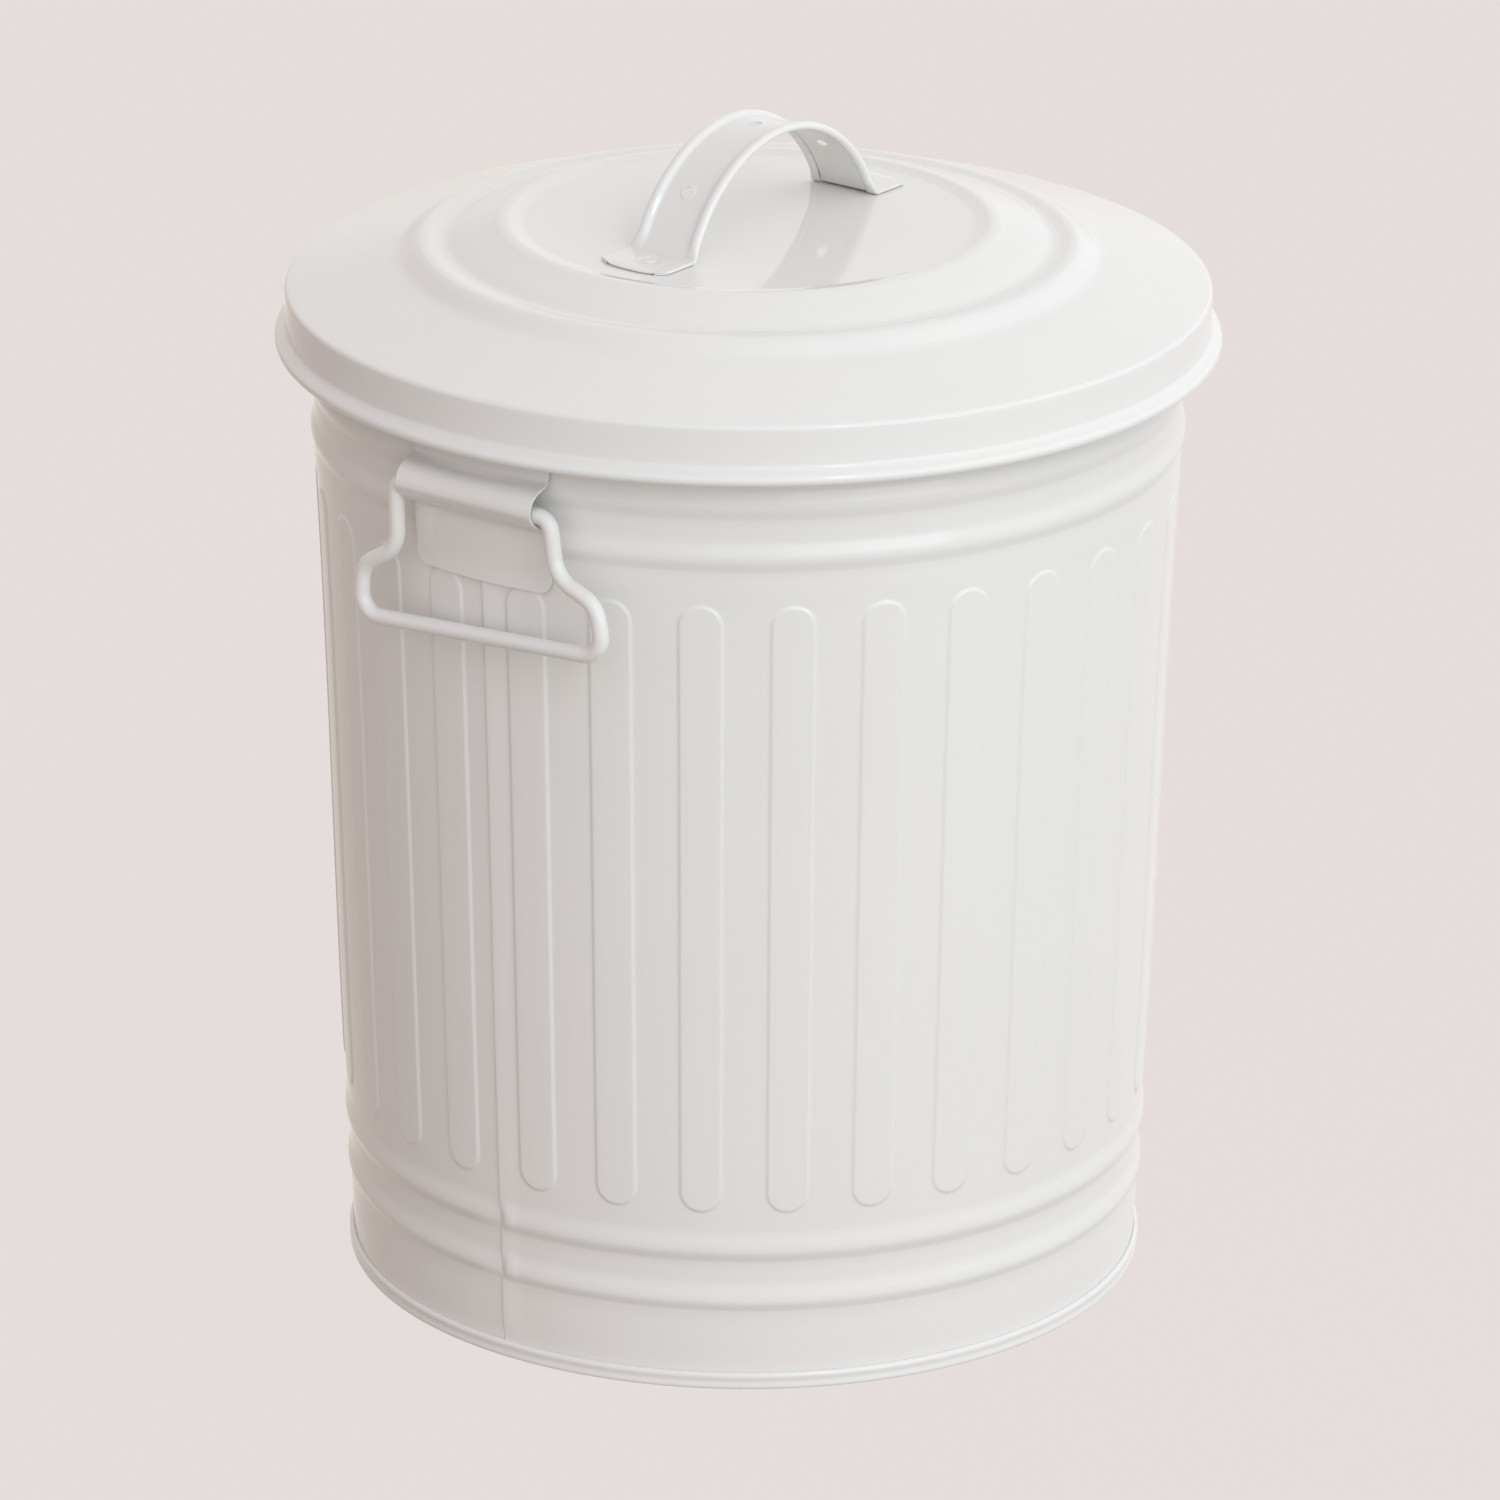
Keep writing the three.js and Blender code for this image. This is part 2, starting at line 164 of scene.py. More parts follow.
def thicken(bm, inward, outward=0.0):
    """Gives an open, consistently turned sheet its thickness, in millimetres."""
    bm.normal_update()
    bm.verts.index_update()
    base = list(bm.verts)
    faces = [[v.index for v in f.verts] for f in bm.faces]
    edges = [(e.verts[0].index, e.verts[1].index, e.link_faces[0]) for e in bm.edges if len(e.link_faces) == 1]
    rim = []
    for a, b, face in edges:
        order = [v.index for v in face.verts]
        ia = order.index(a)
        rim.append((a, b) if order[(ia + 1) % len(order)] == b else (b, a))
    normal = [v.normal.copy() for v in base]
    # equal wall thickness round bends
    scale = []
    for v in base:
        c = [max(0.3, v.normal.dot(f.normal)) for f in v.link_faces]
        scale.append(1.0 / (sum(c) / len(c)) if c else 1.0)
    under = [bm.verts.new(v.co - normal[i] * inward * MM * scale[i]) for i, v in enumerate(base)]
    for i, v in enumerate(base):
        v.co = v.co + normal[i] * outward * MM * scale[i]
    for f in faces:
        bm.faces.new([under[i] for i in reversed(f)])
    for a, b in rim:
        bm.faces.new((base[b], base[a], under[a], under[b]))
    bm.normal_update()
    return bm


def face_out(bm):
    bmesh.ops.recalc_face_normals(bm, faces=bm.faces)
    if bm.calc_volume(signed=True) < 0:
        bmesh.ops.reverse_faces(bm, faces=bm.faces)


def piece(name, bm, material, body, node=None, sharp=38.0):
    mesh = bpy.data.meshes.new(name)
    bm.to_mesh(mesh)
    bm.free()
    mesh.polygons.foreach_set("use_smooth", [True] * len(mesh.polygons))
    mesh.set_sharp_from_angle(angle=math.radians(sharp))
    mesh.materials.append(material)
    ob = bpy.data.objects.new(name, mesh)
    scene.collection.objects.link(ob)
    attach(ob, body)
    if node:
        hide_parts(node)
    return ob


def turn(outline, n=360, at=(0.0, 0.0)):
    """Revolves an outline of (r, z). One that starts and ends on the axis, or
    a closed ring where its last point joins its first."""
    out = bmesh.new()
    cs = [(math.cos(2 * math.pi * j / n), math.sin(2 * math.pi * j / n)) for j in range(n)]
    rings = []
    for r, z in outline:
        if r < 1e-6:
            rings.append([out.verts.new(Vector((at[0], at[1], z)) * MM)])
        else:
            rings.append([out.verts.new(Vector((at[0] + r * c, at[1] + r * s, z)) * MM) for c, s in cs])
    on_axis = len(rings[0]) == 1
    pairs = list(zip(rings, rings[1:])) + ([] if on_axis else [(rings[-1], rings[0])])
    for a, b in pairs:
        for j in range(n):
            k = (j + 1) % n
            if len(a) == 1 and len(b) == 1:
                continue
            if len(a) == 1:
                out.faces.new((a[0], b[k], b[j]))
            elif len(b) == 1:
                out.faces.new((a[j], a[k], b[0]))
            else:
                out.faces.new((a[j], a[k], b[k], b[j]))
    face_out(out)
    return out


def revolve_sheet(line, n=360):
    """Revolves an open line of (r, z) into a sheet that faces its left side."""
    out = bmesh.new()
    rings = []
    for r, z in line:
        if r < 1e-6:
            rings.append([out.verts.new(Vector((0, 0, z)) * MM)])
        else:
            rings.append([out.verts.new(Vector((r * math.cos(2 * math.pi * j / n), r * math.sin(2 * math.pi * j / n), z)) * MM)
                          for j in range(n)])
    for a, b in zip(rings, rings[1:]):
        for j in range(n):
            k = (j + 1) % n
            if len(a) == 1:
                out.faces.new((a[0], b[j], b[k]))
            else:
                out.faces.new((a[k], a[j], b[j], b[k]))
    return out


# ------------------------------------------------------------------ materials
def enamel(name, base, rough, peel=0.05, mottle=0.010, seed=0.0):
    """Gloss powder coat on sheet steel: a slight orange peel, and a soft unevenness
    of gloss and tone."""
    m = bpy.data.materials.new(name)
    m.use_nodes = True
    nt = m.node_tree
    nt.nodes.clear()
    n, l = nt.nodes, nt.links
    out = n.new("ShaderNodeOutputMaterial")
    p = n.new("ShaderNodeBsdfPrincipled")
    p.inputs["Metallic"].default_value = 0.0
    p.inputs["IOR"].default_value = 1.5
    l.new(p.outputs[0], out.inputs[0])
    co = n.new("ShaderNodeTexCoord")
    mp = n.new("ShaderNodeMapping")
    mp.inputs["Location"].default_value = (seed, seed * 0.37, -seed)
    l.new(co.outputs["Object"], mp.inputs[0])

    def noise(scale, detail, rough_=0.5):
        t = n.new("ShaderNodeTexNoise")
        t.inputs["Scale"].default_value = scale
        t.inputs["Detail"].default_value = detail
        t.inputs["Roughness"].default_value = rough_
        l.new(mp.outputs[0], t.inputs["Vector"])
        return t.outputs["Fac"]

    # tone: broad clouds and a little fine grain
    cloud = noise(7.0, 3.0)
    grain = noise(160.0, 2.0)
    add = n.new("ShaderNodeMath")
    add.operation = "MULTIPLY_ADD"
    l.new(grain, add.inputs[0])
    add.inputs[1].default_value = 0.25
    l.new(cloud, add.inputs[2])
    ramp = n.new("ShaderNodeMapRange")
    ramp.inputs["From Min"].default_value = 0.42
    ramp.inputs["From Max"].default_value = 0.83
    ramp.inputs["To Min"].default_value = 0.0
    ramp.inputs["To Max"].default_value = 1.0
    l.new(add.outputs[0], ramp.inputs[0])
    mix = n.new("ShaderNodeMix")
    mix.data_type = "RGBA"
    lo = [c * (1 - mottle) for c in base]
    hi = [min(1.0, c * (1 + mottle)) for c in base]
    hi[2] *= 0.997
    mix.inputs["A"].default_value = (*lo, 1)
    mix.inputs["B"].default_value = (*hi, 1)
    l.new(ramp.outputs[0], mix.inputs["Factor"])
    l.new(mix.outputs["Result"], p.inputs["Base Color"])
    # gloss
    gl = n.new("ShaderNodeMapRange")
    gl.inputs["From Min"].default_value = 0.3
    gl.inputs["From Max"].default_value = 0.7
    gl.inputs["To Min"].default_value = rough * 0.75
    gl.inputs["To Max"].default_value = rough * 1.4
    l.new(noise(38.0, 4.0, 0.6), gl.inputs[0])
    l.new(gl.outputs[0], p.inputs["Roughness"])
    # orange peel: two sizes of ripple
    fine = noise(520.0, 1.0)
    broad = noise(120.0, 1.0)
    mulb = n.new("ShaderNodeMath")
    mulb.operation = "MULTIPLY_ADD"
    l.new(broad, mulb.inputs[0])
    mulb.inputs[1].default_value = 1.6
    l.new(fine, mulb.inputs[2])
    bump = n.new("ShaderNodeBump")
    bump.inputs["Strength"].default_value = peel
    bump.inputs["Distance"].default_value = 0.0004
    l.new(mulb.outputs[0], bump.inputs["Height"])
    l.new(bump.outputs[0], p.inputs["Normal"])
    return m


def drawn_wire(name):
    m = bpy.data.materials.new(name)
    m.use_nodes = True
    nt = m.node_tree
    p = nt.nodes["Principled BSDF"]
    p.inputs["Metallic"].default_value = 1.0
    co = nt.nodes.new("ShaderNodeTexCoord")
    t = nt.nodes.new("ShaderNodeTexNoise")
    t.inputs["Scale"].default_value = 90.0
    t.inputs["Detail"].default_value = 5.0
    nt.links.new(co.outputs["Object"], t.inputs["Vector"])
    r = nt.nodes.new("ShaderNodeValToRGB")
    r.color_ramp.elements[0].color = (0.33, 0.33, 0.34, 1)
    r.color_ramp.elements[1].color = (0.58, 0.58, 0.59, 1)
    r.color_ramp.elements[0].position, r.color_ramp.elements[1].position = 0.35, 0.65
    nt.links.new(t.outputs["Fac"], r.inputs[0])
    nt.links.new(r.outputs[0], p.inputs["Base Color"])
    g = nt.nodes.new("ShaderNodeMapRange")
    g.inputs["To Min"].default_value, g.inputs["To Max"].default_value = 0.3, 0.5
    nt.links.new(t.outputs["Fac"], g.inputs[0])
    nt.links.new(g.outputs[0], p.inputs["Roughness"])
    return m


WHITE = (0.80, 0.79, 0.775)
LID_GLOSS = 0.36
M_BODY = enamel("enamel_body", WHITE, 0.09, peel=0.035, seed=1.3)
M_LID = enamel("enamel_lid", WHITE, 0.055, peel=0.012, seed=4.1)
M_HARD = enamel("enamel_hardware", WHITE, 0.06, peel=0.02, seed=7.7)
M_WIRE = drawn_wire("wire_steel")
M_LID.node_tree.nodes["Principled BSDF"].inputs["Specular IOR Level"].default_value = LID_GLOSS

# ------------------------------------------------------------------ body shell
# One sheet rolled into a slightly conical wall. It laps over itself at the
# seam, where its outer end lies on top of its inner end.
SHEET = 0.8
SEAM = 180.0
R_REF = 183.5
FLUTES, FLUTE_STEP, FLUTE_FIRST = 30, 11.966, 6.5
FLUTE_H, FLUTE_BASE, FLUTE_TOP = 0.70, 10.15, 8.05
FLUTE_LO, FLUTE_HI = 92.7, 352.7          # centres of the rounded ends
CELL_E = 16.0
wall = pchip([(0.0, 174.2), (9.7, 174.4), (22.2, 175.0), (54.2, 175.7), (76.0, 177.1), (84.2, 177.5),
              (358.2, 187.2), (372.2, 188.1), (395.2, 188.5), (411.2, 189.0), (430.0, 189.0), (443.0, 189.0)])
BEADS = [(36.2, 41.4, 50.6, 1.5), (59.4, 65.2, 74.8, 1.5), (377.0, 383.5, 391.7, 1.55), (400.2, 406.7, 414.2, 1.5)]


def bead(z, lap_mm, end_mm):
    """Height of the pressed rings. They run out towards the outer end of the
    sheet, lap_mm from it, and sink a little towards the inner end."""
    z = np.asarray(z, float)
    h = np.zeros_like(z)
    for lo, crest, hi, top in BEADS:
        rise = np.clip((z - lo) / (crest - lo), 0, 1)
        up = 0.4 * smooth(rise) + 0.6 * np.sin(rise * math.pi / 2) ** 1.15
        down = smooth((hi - z) / (hi - crest))
        h = h + top * np.where(z < crest, up, down)
    return h * (smooth((lap_mm - 0.7) / 2.6) + 0.3 * np.exp(-((lap_mm - 4.2) / 2.0) ** 2)) * (0.5 + 0.5 * smooth(end_mm / 14.0))


def wall_radius(phi, z, h=0.0):
    phi, z = np.broadcast_arrays(np.asarray(phi, float), np.asarray(z, float))
    lap_mm = np.radians(phi - SEAM) * R_REF
    end_mm = np.clip(np.radians(SEAM + 360.0 - phi) * R_REF, 0, None)
    fade = smooth((z - 8.0) / 8.0) * (1 - smooth((z - 424.0) / 8.0)) * (1 - 0.8 * smooth((z - 362.0) / 10.0))
    raise_ = 0.86 * (1 - smooth((lap_mm - 1.0) / 10.0)) * (0.25 + 0.75 * fade)
    edge = np.where(lap_mm < 0.3, 0.22 * (1 - np.clip(lap_mm, 0, 0.3) / 0.3) ** 2, 0.0)
    crease = 0.4 * (1 - smooth(end_mm / 1.1)) * (end_mm > 0)
    return wall(z) + bead(z, lap_mm, end_mm) + raise_ - edge - crease + h


def on_wall(phi, z, h=0.0):
    r = wall_radius(phi, z, h)
    a = np.radians(np.broadcast_to(np.asarray(phi, float), r.shape))
    return np.stack([r * np.cos(a), r * np.sin(a), np.broadcast_to(np.asarray(z, float), r.shape)], -1)


DEG = 180.0 / math.pi / R_REF
half_cell = FLUTE_STEP / 2 / DEG
corner = math.degrees(math.atan2(CELL_E, half_cell))
alphas = [0, 10, 20, 30, corner, 44.5, 51, 57.5, 64, 77, 90]
alphas = alphas + [180 - a for a in alphas[-2::-1]]
STRAIGHT = 10


def border(a):
    """Where a ray from the centre of a rounded end meets the cell's frame."""
    c, s = math.cos(math.radians(a)), math.sin(math.radians(a))
    if a in (0, 180):
        return (half_cell if a == 0 else -half_cell, 0.0)
    if a <= corner:
        return (half_cell, half_cell * s / c)
    if a >= 180 - corner:
        return (-half_cell, -half_cell * s / c)
    return (CELL_E * c / s, CELL_E)


def cell_rings():
    """Loops round a flute, from the cell frame in to the flat top, as lists of
    (across mm, z, height)."""
    straight = [FLUTE_LO + (FLUTE_HI - FLUTE_LO) * i / STRAIGHT for i in range(STRAIGHT + 1)]

    def loop(at, h):
        pts = [(at(0)[0], z, h) for z in straight[:-1]]
        pts += [(at(a)[0], FLUTE_HI + at(a)[1], h) for a in alphas]
        pts += [(at(180)[0], z, h) for z in straight[::-1][1:-1]]
        pts += [(at(a)[0], FLUTE_LO - at(a)[1], h) for a in alphas[::-1]]
        return pts[:-1]

    def ring(rho):
        return lambda a: (rho * math.cos(math.radians(a)), rho * math.sin(math.radians(a)))

    loops = [loop(border, 0.0)]
    for t in (0.5, 0.85):
        loops.append(loop(lambda a, t=t: tuple(b + (q - b) * t for b, q in zip(border(a), ring(FLUTE_BASE)(a))), 0.0))
    for u in (0.0, 0.1, 0.22, 0.36, 0.5, 0.64, 0.78, 0.9, 1.0):
        h = FLUTE_H * float(smooth(u))
        loops.append(loop(ring(FLUTE_BASE + (FLUTE_TOP - FLUTE_BASE) * u), h))
    for rho in (7.6, 5.6, 3.0):
        loops.append(loop(ring(rho), FLUTE_H + 0.02))
    return loops


rings = cell_rings()
M = len(rings[0])
NA = len(alphas) - 1
body = Sheet()
for i in range(FLUTES):
    c = SEAM + FLUTE_FIRST + FLUTE_STEP * i
    arr = np.array(rings)                         # rings, points, 3
    phi = c + arr[..., 0] * DEG
    pts = on_wall(phi, arr[..., 1], arr[..., 2])
    start = body.grid(pts, close=True)
    # the flat top inside the last ring
    last = start + (len(rings) - 1) * M
    idx = [last + k for k in range(M)]
    right = idx[:STRAIGHT + 1]                      # straight side, bottom to top
    top = idx[STRAIGHT:STRAIGHT + NA + 1]           # over the upper end
    left = [idx[(STRAIGHT + NA + k) % M] for k in range(STRAIGHT + 1)]
    bottom = [idx[(2 * STRAIGHT + NA + k) % M] for k in range(NA + 1)]
    for k in range(STRAIGHT):
        body.f.append((right[k], right[k + 1], left[STRAIGHT - k - 1], left[STRAIGHT - k]))
    for line in (top, bottom):
        for k in range(NA // 2):
            q = [line[k], line[k + 1], line[NA - k - 1], line[NA - k]]
            if q[1] == q[2]:
                q = [q[0], q[1], q[3]]
            body.f.append(tuple(q))

cell_cols = sorted({round(border(a)[0] * DEG, 9) for a in alphas})
rows_side = [FLUTE_LO - border(a)[1] for a in (corner, 30, 20, 10)] + \
            [FLUTE_LO + (FLUTE_HI - FLUTE_LO) * i / STRAIGHT for i in range(STRAIGHT + 1)] + \
            [FLUTE_HI + border(a)[1] for a in (10, 20, 30, corner)]
first_edge = SEAM + FLUTE_FIRST - FLUTE_STEP / 2
last_edge = SEAM + FLUTE_FIRST + FLUTE_STEP * (FLUTES - 1) + FLUTE_STEP / 2
seam_a = [SEAM + q for q in (0, 0.03, 0.06, 0.1, 0.25, 0.4)] + [first_edge]
seam_b = [last_edge] + [SEAM + 360 + q for q in (-0.35, -0.25, -0.17, -0.1, -0.04, -0.005, 1.2, 2.5)]
cols = list(seam_a[:-1])
for i in range(FLUTES):
    c = SEAM + FLUTE_FIRST + FLUTE_STEP * i
    cols += [c + q for q in (cell_cols if i == FLUTES - 1 else cell_cols[:-1])]
cols += seam_b[1:]


def strip(phis, zs):
    P, Z = np.meshgrid(np.array(phis), np.array(zs))
    return on_wall(P, Z)


body.grid(strip(seam_a, rows_side))
body.grid(strip(seam_b, rows_side))


def bead_rows(lo, crest, hi, n=9):
    return [lo + (crest - lo) * k / n for k in range(n)] + [crest + (hi - crest) * k / n for k in range(n + 1)]


low = [1.5, 4.0, 8.0, 10.0, 12.0, 14.0, 16.0, 22.0, 29.0] + bead_rows(*BEADS[0][:3]) + [53.0, 56.0] + bead_rows(*BEADS[1][:3]) + [rows_side[0]]
high = [rows_side[-1], 372.8] + bead_rows(*BEADS[2][:3]) + [394.5, 397.5] + bead_rows(*BEADS[3][:3]) + [418.0, 424.0, 428.0, 432.0, 437.0, 440.0]
body.grid(strip(cols, low))
upper = strip(cols, high)
# the top edge rolls outward round the rim wire
RIM_R, RIM_Z = 191.5, 442.5
roll = arc(RIM_R, RIM_Z, RIM_R - 189.0, 180, -105, 20)
lap = wall_radius(np.array(cols), 440.0) - wall(440.0)
curl = np.array([[[(r + d * max(0.0, 1 - k / 6)) * math.cos(math.radians(p)),
                   (r + d * max(0.0, 1 - k / 6)) * math.sin(math.radians(p)), z]
                  for p, d in zip(cols, lap)] for k, (r, z) in enumerate(roll)])
body.grid(np.concatenate([upper, curl]))
bm = body.bm()
bmesh.ops.recalc_face_normals(bm, faces=bm.faces)
bm.normal_update()
probe = min(bm.faces, key=lambda f: abs(f.calc_center_median().z - 0.2) + abs(f.calc_center_median().x - 0.18))
if probe.normal.dot(Vector((probe.calc_center_median().x, probe.calc_center_median().y, 0))) < 0:
    bmesh.ops.reverse_faces(bm, faces=bm.faces)
thicken(bm, SHEET)
piece("body_skin", bm, M_BODY, "can", "body_shell")

# ------------------------------------------------------------------ rim wire
piece("rim_wire_round", turn(arc(RIM_R, RIM_Z, 2.35, 0, 345, 23), 240), M_WIRE, "can", "rim_wire")

# ------------------------------------------------------------------ base pan
# Its edge goes down inside the wall, folds under it and up outside, where it
# shows as the foot ring.
pan = [(0, 9.0), (60, 9.0), (120, 9.0), (150, 9.0), (165, 9.0)]
pan += arc(170.1, 6.9, 2.1, 90, 0, 6)
pan += [(172.2, 3.0), (172.5, 1.6), (173.0, 1.0), (174.0, 1.0)]
pan += [(174.24, 1.5), (174.28, 3.5), (174.34, 6.3)]
pan += [(174.38, 7.45), (174.7, 7.62), (175.2, 7.54), (175.75, 7.28), (176.2, 6.75), (176.4, 6.05), (176.36, 5.3),
        (176.12, 4.5), (175.95, 3.7), (176.0, 3.0), (176.2, 2.2), (176.32, 1.5), (176.22, 0.85), (175.92, 0.35), (175.4, 0.08), (174.6, 0.0)]
pan += [(173.0, 0.0), (172.2, 0.1), (171.6, 0.5), (171.35, 1.2), (171.3, 3.0), (171.3, 5.6)]
pan += arc(169.3, 6.0, 2.0, 0, 90, 5)[1:]
pan += [(165, 8.0), (150, 8.0), (120, 8.0), (60, 8.0), (0, 8.0)]
piece("base_pan_fold", turn(pan, 360), M_BODY, "can", "base_pan")

# ------------------------------------------------------------------ lid shell
LID_R = 204.98
CURL_R, CURL_Z, CURL_OUT = LID_R - 2.85, 422.8, 2.85
profile = pchip([(0, 472.2), (90, 472.2), (96.5, 472.2), (100.5, 472.85), (104.6, 473.65), (107.5, 473.3), (111, 472.1),
                 (125.5, 466.9), (128.6, 465.5), (131.0, 464.75), (133.5, 464.65), (136.5, 464.95), (139, 465.2), (141.5, 465.0),
                 (144.0, 463.9), (148.0, 461.1), (151.2, 459.0), (154.5, 457.85), (158, 456.95), (180, 450.95), (195.6, 446.7)])
line = [(0.0, 472.2), (30, 472.2), (60, 472.2), (80, 472.2)]
rs = list(np.arange(90, 158.01, 0.8)) + [162, 168, 174, 180, 186, 191, 194, 195.6]
line += [(float(r), float(profile(r))) for r in rs]
# shoulder, then the skirt
line += arc(198.2, 443.71, 2.2, 74.8, 3, 8)
skirt = CURL_R - (CURL_OUT - SHEET)
line += [(200.40, 441.5), (200.32, 438.0), (200.27, 434.0), (skirt + 0.02, 430.0), (skirt, 427.0), (skirt, 425.0)]
line += arc(CURL_R, CURL_Z, CURL_OUT - SHEET, 180, 491, 27)
# tidy the join of cone and shoulder
line = [p for i, p in enumerate(line) if i == 0 or math.dist(p, line[i - 1]) > 0.05]
bm = revolve_sheet(line, 360)
bmesh.ops.recalc_face_normals(bm, faces=bm.faces)
bm.normal_update()
probe = min(bm.faces, key=lambda f: f.calc_center_median().xy.length)
if probe.normal.z < 0:
    bmesh.ops.reverse_faces(bm, faces=bm.faces)
thicken(bm, SHEET)
# the coat fills the groove between the curl and the skirt in a small fillet
p0, p3 = (200.14, 428.6), (CURL_R + CURL_OUT * math.cos(math.radians(60)), CURL_Z + CURL_OUT * math.sin(math.radians(60)))
fillet = [tuple((1 - t) ** 3 * a + 3 * (1 - t) ** 2 * t * b + 3 * (1 - t) * t * t * c + t**3 * d
                for a, b, c, d in zip(p0, (200.2, 426.9), (p3[0] - 1.2, p3[1] + 0.69), p3)) for t in np.linspace(0, 1, 11)]
fillet += [(p3[0] - 0.2, p3[1] - 0.4), (201.9, 424.75), (200.6, 424.9), (199.8, 426.0), (199.8, 428.5)]
extra = bpy.data.meshes.new("lid_fillet")
ring = turn([(float(r), float(z)) for r, z in fillet], 360)
ring.to_mesh(extra)
ring.free()
bm.from_mesh(extra)
bpy.data.meshes.remove(extra)
piece("lid_skin", bm, M_LID, "lid", "lid_shell")

# ------------------------------------------------------------------ lid handle
# A strap of sheet with rolled edges, bent into an arch. At the feet the rolls
# are pressed flat into hems, and the rivet sits in a shallow dish.
LID_TURN = math.radians(-1.2)
H_DX, H_DY = 0.0, -3.7
ARCH_R, ARCH_Z = 67.8, 448.9
FOOT_Z = 473.32
LEG = math.radians(59.6)                 # where the arch runs out into straight legs
BEND = 2.0
S0 = ARCH_R * LEG
LEG_RUN = (ARCH_Z + ARCH_R * math.cos(LEG) - FOOT_Z - BEND * (1 - math.cos(LEG))) / math.sin(LEG)
S1 = S0 + LEG_RUN
S2 = S1 + BEND * LEG
BEND_X = ARCH_R * math.sin(LEG) + LEG_RUN * math.cos(LEG) + BEND * math.sin(LEG)
X2 = BEND_X
HOLE_S = ARCH_R * math.radians(44.5)
HALF_W, BEAD_A, BEAD_B, SHEET_S = 16.6, 2.35, 1.78, 0.7    # half width, the rolls' half width and half height
WEB, WEB_DROP = 10.6, 0.55
RIVET_X = 74.5
FOOT_SIDE, FOOT_END, FOOT_MID = 82.5, 83.2, 88.0
FOOT_HALF = {1: 18.4, -1: 17.0}         # the foot reaches out further on one side


def path(s):
    q, sg = abs(s), (1 if s >= 0 else -1)
    if q <= S1:
        a = min(q / ARCH_R, LEG)
        t = max(0.0, q - S0)
        nrm = (math.sin(a), math.cos(a))
        p = (ARCH_R * nrm[0] + t * nrm[1], ARCH_Z + ARCH_R * nrm[1] - t * nrm[0])
    elif q <= S2:
        b = LEG - (q - S1) / BEND
        nrm = (math.sin(b), math.cos(b))
        p = (BEND_X - BEND * nrm[0], FOOT_Z + BEND - BEND * nrm[1])
    else:
        p, nrm = (X2 + q - S2, FOOT_Z), (0.0, 1.0)
    return sg * p[0], p[1], sg * nrm[0], nrm[1]


def bezier(a, b, c, d, n):
    a, b, c, d = (np.array(q, float) for q in (a, b, c, d))
    return [tuple((1 - t) ** 3 * a + 3 * (1 - t) ** 2 * t * b + 3 * (1 - t) * t * t * c + t**3 * d)
            for t in (k / n for k in range(n + 1))]


# sections of the edge, from where the flat web ends: a full round roll on the
# arch, and a flat hem under the feet
roll_a, roll_b = BEAD_A - SHEET_S / 2, BEAD_B - SHEET_S / 2
roll_c = HALF_W - BEAD_A - WEB
roll_edge = [(roll_c + roll_a * math.cos(math.radians(a)), roll_b * math.sin(math.radians(a)))
             for a in (125 - 293 * k / 16 for k in range(17))]
roll_edge = bezier((0, -WEB_DROP), (1.2, -WEB_DROP), (roll_edge[0][0] - 0.71, roll_edge[0][1] - 0.37), roll_edge[0], 6) + roll_edge[1:]


def hem(half_width):
    c = half_width - WEB - 0.5
    return np.array([(c * k / 10, 0.16 * float(smooth((k - 1) / 3))) for k in range(11)]
                    + [(c + 0.5 * math.sin(math.radians(a)), -0.22 + 0.38 * math.cos(math.radians(a))) for a in (30, 70, 110, 150, 180)]
                    + [(c - 4.3 * k / 7, -0.6 - 0.02 * k / 7) for k in range(1, 8)])


roll_edge = np.array(roll_edge)
hem_edge = {side: hem(w) for side, w in FOOT_HALF.items()}
assert len(roll_edge) == len(hem_edge[1])
NE = len(roll_edge) - 1


def strap_point(u, s, e=0):
    """u across the flat web, s along the strap, e a step into the rolled edge."""
    px, pz, nx, nz = path(s)
    w = float(smooth((abs(s) - (S1 - 7.5)) / 9.0))
    side = 1 if u >= 0 else -1
    du, dn = roll_edge[e] * (1 - w) + hem_edge[side][e] * w
    across = abs(u) + (du if e else 0.0)
    n = dn if e else -WEB_DROP * (1 - w)
    x = px
    if abs(px) > FOOT_SIDE - 1e-6 and abs(s) > S2:
        # rounded end of the foot
        q = (abs(px) - FOOT_SIDE) / (FOOT_END - FOOT_SIDE)
        reach = FOOT_END + (FOOT_MID - FOOT_END) * max(0.0, 1 - (across / FOOT_HALF[side]) ** 3)
        x = math.copysign(FOOT_SIDE + q * (reach - FOOT_SIDE), px)
        # its lip is dressed down on to the lid
        n -= 0.42 * float(smooth((abs(x) - 84.6) / 3.0)) * (1 - float(smooth((across - 11.0) / 3.0)))
    for c in (-HOLE_S, 0.0, HOLE_S):
        q = math.hypot(s - c, u) if not e else 9.0
        n += 0.3 * max(0.0, 1 - ((q - 2.95) / 0.85) ** 2)
    if abs(s) > S2:
        rr = math.hypot(abs(x) - RIVET_X, across)
        n -= 0.62 * (1 - float(smooth((rr - 3.5) / 3.2)))
    return (x + nx * n, side * across, pz + nz * n)


def s_of_x(x):
    return S2 + (x - X2)


